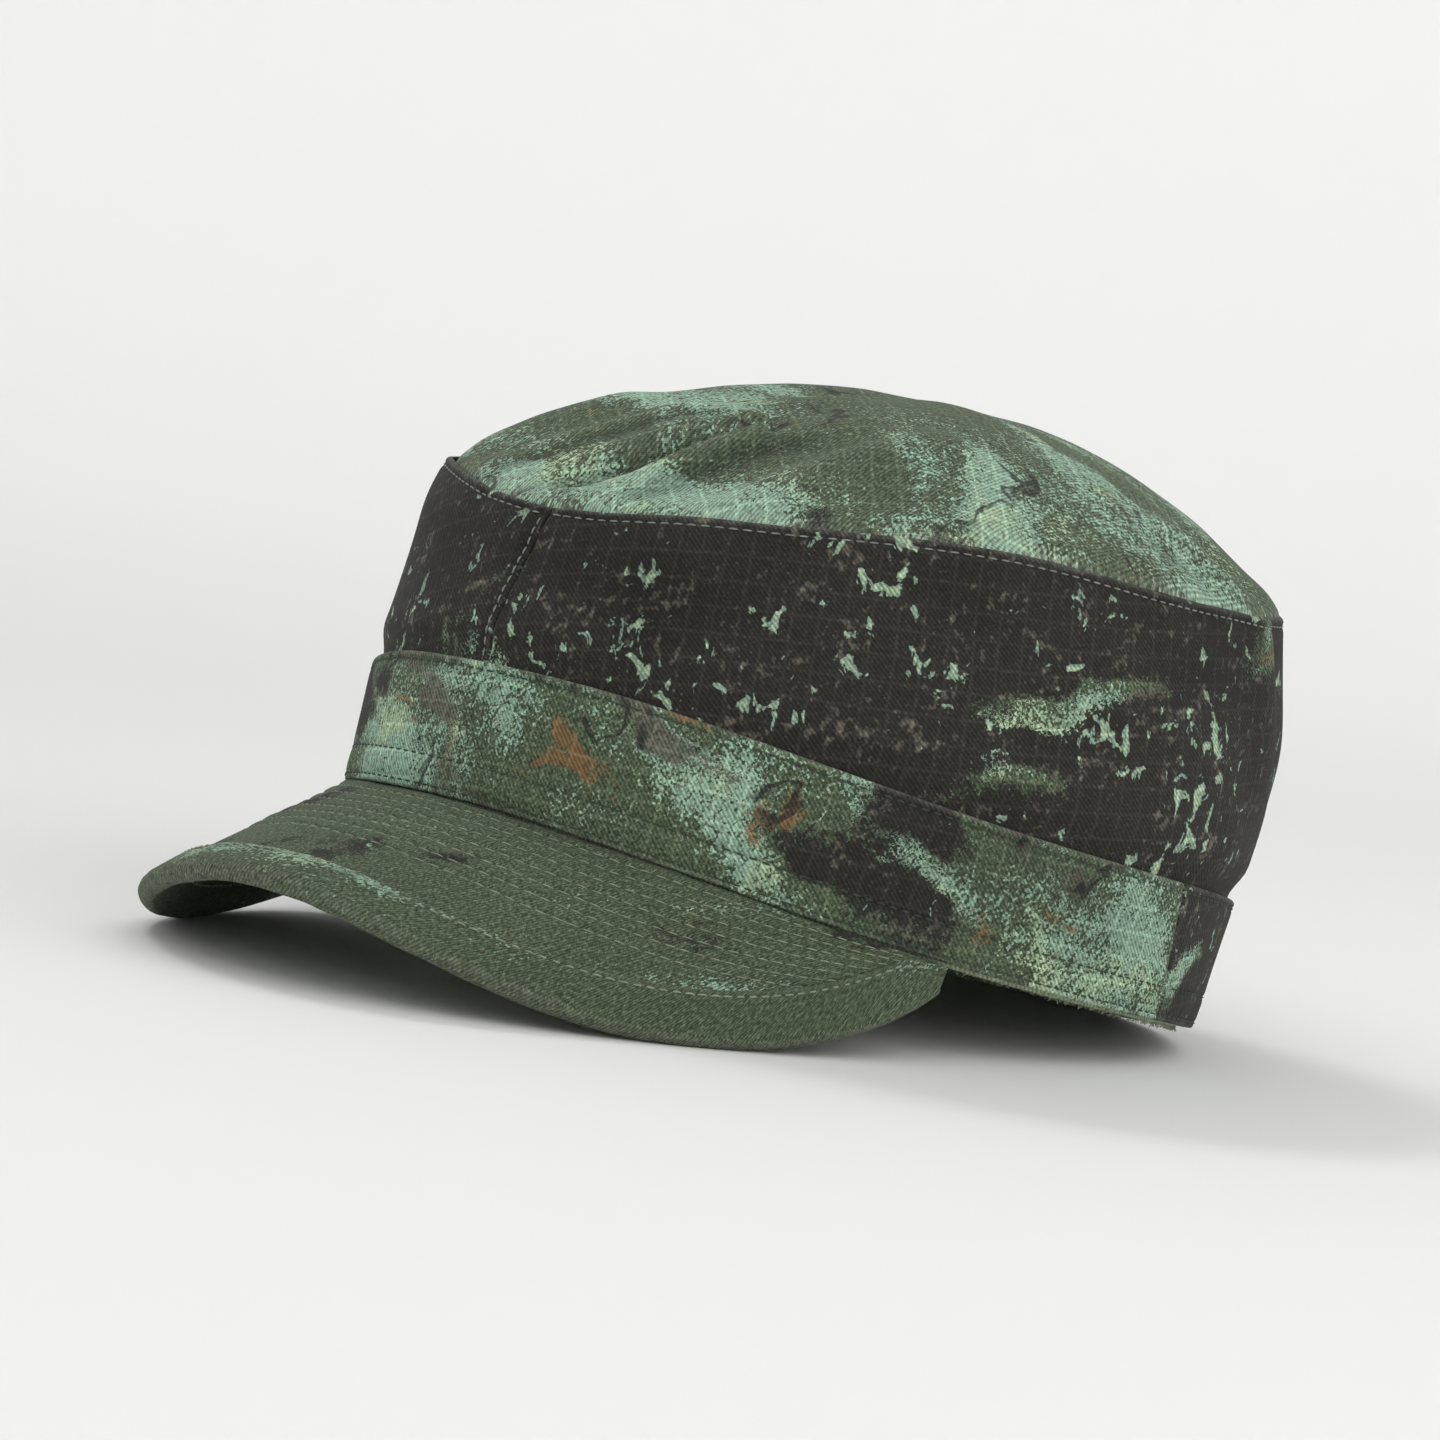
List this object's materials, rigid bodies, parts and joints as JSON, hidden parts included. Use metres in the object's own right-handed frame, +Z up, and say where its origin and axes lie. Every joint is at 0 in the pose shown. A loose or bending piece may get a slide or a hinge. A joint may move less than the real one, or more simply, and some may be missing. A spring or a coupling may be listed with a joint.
{
  "type": "hunting cap",
  "caption": "Field cap for hunting: oval crown with domed top, outer band, inner sweatband and a curved visor with bound edge, open below for a head.",
  "frame": {"origin": "on the surface the cap rests on, under the middle of its bounding box", "axes": "+Z up from the surface, -Y the way the visor points, +X the wearer's left. The cap rests on the two lowest points of the visor and the rear of its rim, so its rim is pitched nose-up by about 9 degrees"},
  "size_m": [0.173, 0.2712, 0.1263],
  "materials": {
    "top_cloth": "matt printed ripstop cotton, mostly moss green with mint patches",
    "side_cloth": "matt printed ripstop cotton, dark bark with small pale flecks",
    "band_cloth": "matt printed ripstop cotton, green and mint with brown patches",
    "sweatband_cloth": "matt cotton, pale grey-green",
    "visor_cloth": "matt printed cotton twill, deep green, stitched in rows",
    "binding_cloth": "matt cotton twill cut on the bias"
  },
  "bodies": {
    "root": {"top_panel": "top_cloth", "side_panel_left": "side_cloth", "side_panel_right": "side_cloth", "band_front": "band_cloth", "band_back": "side_cloth", "sweatband": "sweatband_cloth", "visor_top": "visor_cloth", "visor_under": "visor_cloth", "visor_binding": "binding_cloth"}
  },
  "joints": []
}
